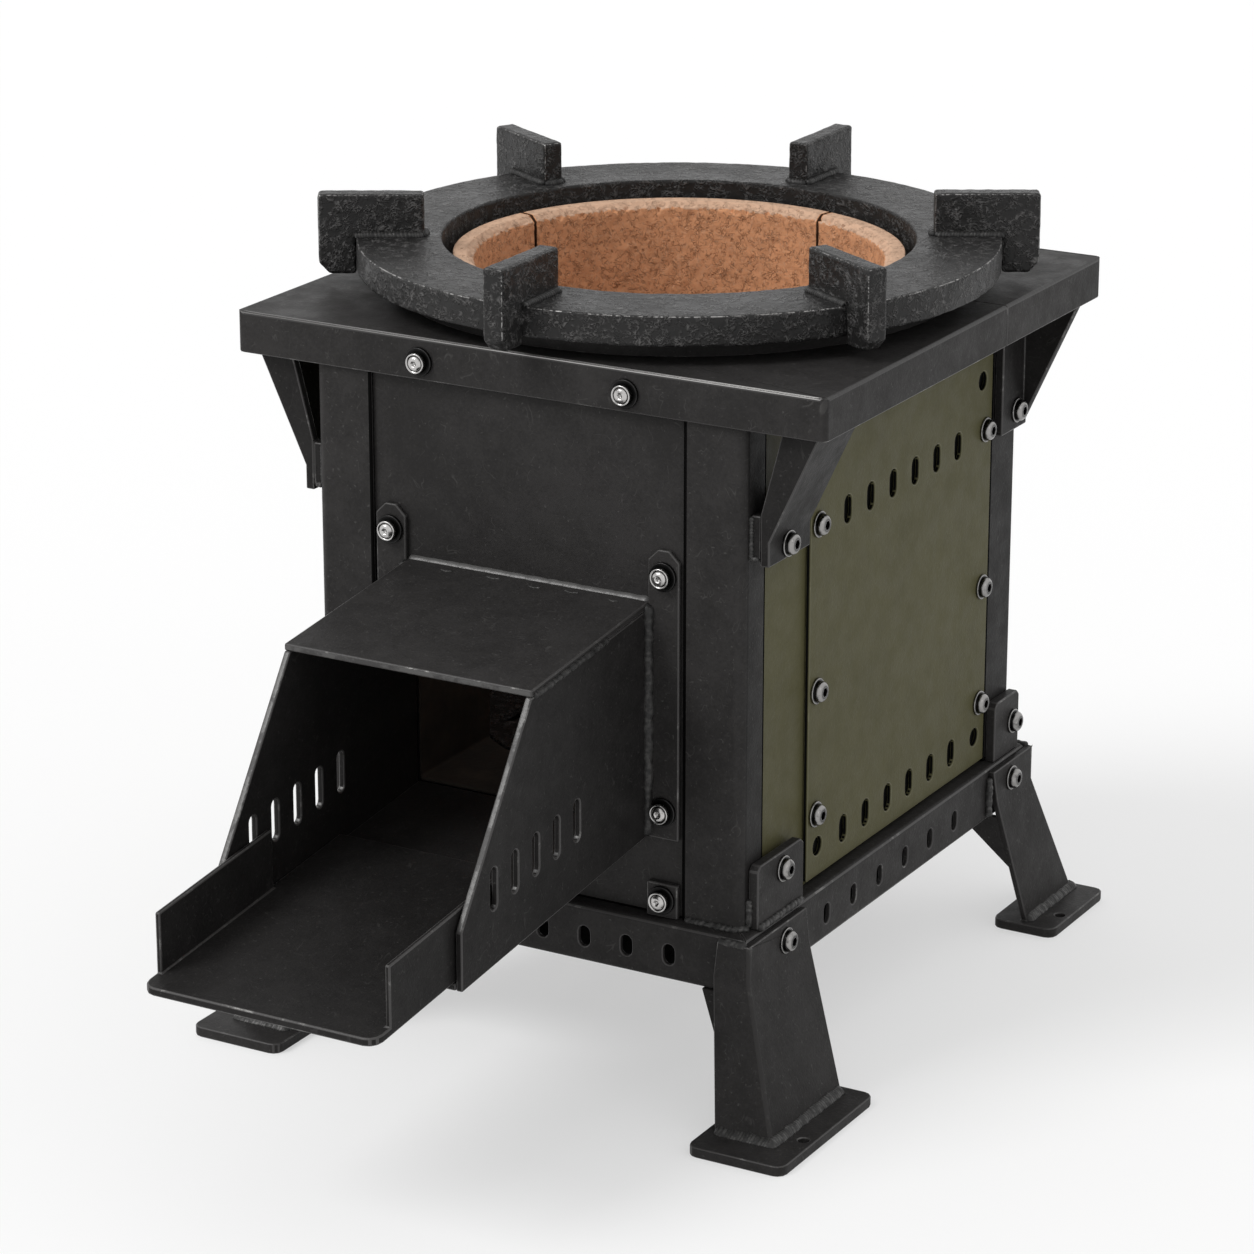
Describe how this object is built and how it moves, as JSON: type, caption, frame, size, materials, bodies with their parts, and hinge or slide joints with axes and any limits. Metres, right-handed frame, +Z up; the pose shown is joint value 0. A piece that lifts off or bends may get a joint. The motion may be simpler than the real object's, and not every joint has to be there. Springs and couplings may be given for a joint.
{
  "type": "rocket stove",
  "caption": "Rocket stove: bolted sheet-steel body on splayed legs, sloping front feed chute with a sliding tray, firebrick riser, and a loose cast pot ring with upright lugs.",
  "frame": {"origin": "on the floor, under the centre of the whole stove's box, tray included", "axes": "+Z up, the feed chute and tray point to -Y, +X to the right of someone who looks along +Y at the chute"},
  "size_m": [0.5008, 0.8642, 0.616],
  "materials": {
    "black_steel": "heat-proof satin black coat on folded sheet and plate, worn along the edges",
    "olive_steel": "matt olive heat-proof coat on flat sheet",
    "cast_iron": "as cast, dark and slightly rough",
    "firebrick": "unglazed terracotta firebrick, pitted, with pale rubbed rims",
    "castable_refractory": "rough cast refractory, sooted round the fire",
    "insulation": "ceramic-fibre blanket, hidden in the body",
    "stainless_bolt": "plain stainless button heads on washers"
  },
  "bodies": {
    "stove": {"access_panel_left": "olive_steel", "access_panel_right": "olive_steel", "back_panel": "black_steel", "base_rail_front": "black_steel", "base_rail_left": "black_steel", "base_rail_rear": "black_steel", "base_rail_right": "black_steel", "bracket_front_left": "black_steel", "bracket_front_right": "black_steel", "bracket_rear_left": "black_steel", "bracket_rear_right": "black_steel", "burn_chamber": "castable_refractory", "chute_cheek_left": "black_steel", "chute_cheek_right": "black_steel", "chute_flange_left": "black_steel", "chute_flange_right": "black_steel", "chute_floor": "black_steel", "chute_roof": "black_steel", "corner_clip_front_left": "black_steel", "corner_clip_front_right": "black_steel", "corner_clip_rear_left": "black_steel", "corner_clip_rear_right": "black_steel", "corner_post_front_left": "black_steel", "corner_post_front_right": "black_steel", "corner_post_rear_left": "black_steel", "corner_post_rear_right": "black_steel", "fire_grate": "cast_iron", "front_panel": "black_steel", "hearth_plate": "black_steel", "insulation_fill": "insulation", "leg_bolt_front_left": "stainless_bolt", "leg_bolt_front_right": "stainless_bolt", "leg_bolt_rear_left": "stainless_bolt", "leg_bolt_rear_right": "stainless_bolt", "leg_front_left": "black_steel", "leg_front_right": "black_steel", "leg_rear_left": "black_steel", "leg_rear_right": "black_steel", "lower_clip_left": "black_steel", "lower_clip_right": "black_steel", "ring_collar": "black_steel", "riser_brick_1": "firebrick", "riser_brick_2": "firebrick", "riser_brick_3": "firebrick", "riser_brick_4": "firebrick", "side_panel_left": "olive_steel", "side_panel_right": "olive_steel", "skirt_bolt_left": "stainless_bolt", "skirt_bolt_right": "stainless_bolt", "top_plate_front": "black_steel", "top_plate_rear": "black_steel"},
    "pot_ring": {"pot_ring": "cast_iron", "pot_lug_1": "cast_iron", "pot_lug_2": "cast_iron", "pot_lug_3": "cast_iron", "pot_lug_4": "cast_iron", "pot_lug_5": "cast_iron", "pot_lug_6": "cast_iron"},
    "feed_tray": {"feed_tray": "black_steel"}
  },
  "joints": [
    {"name": "pot_ring_lift", "type": "slide", "parent": "stove", "child": "pot_ring", "axis": [0, 0, 1], "range_m": [0, 0.12]},
    {"name": "feed_tray_slide", "type": "slide", "parent": "stove", "child": "feed_tray", "axis": [0, -0.9945, -0.1045], "range_m": [-0.095, 0.1]}
  ]
}
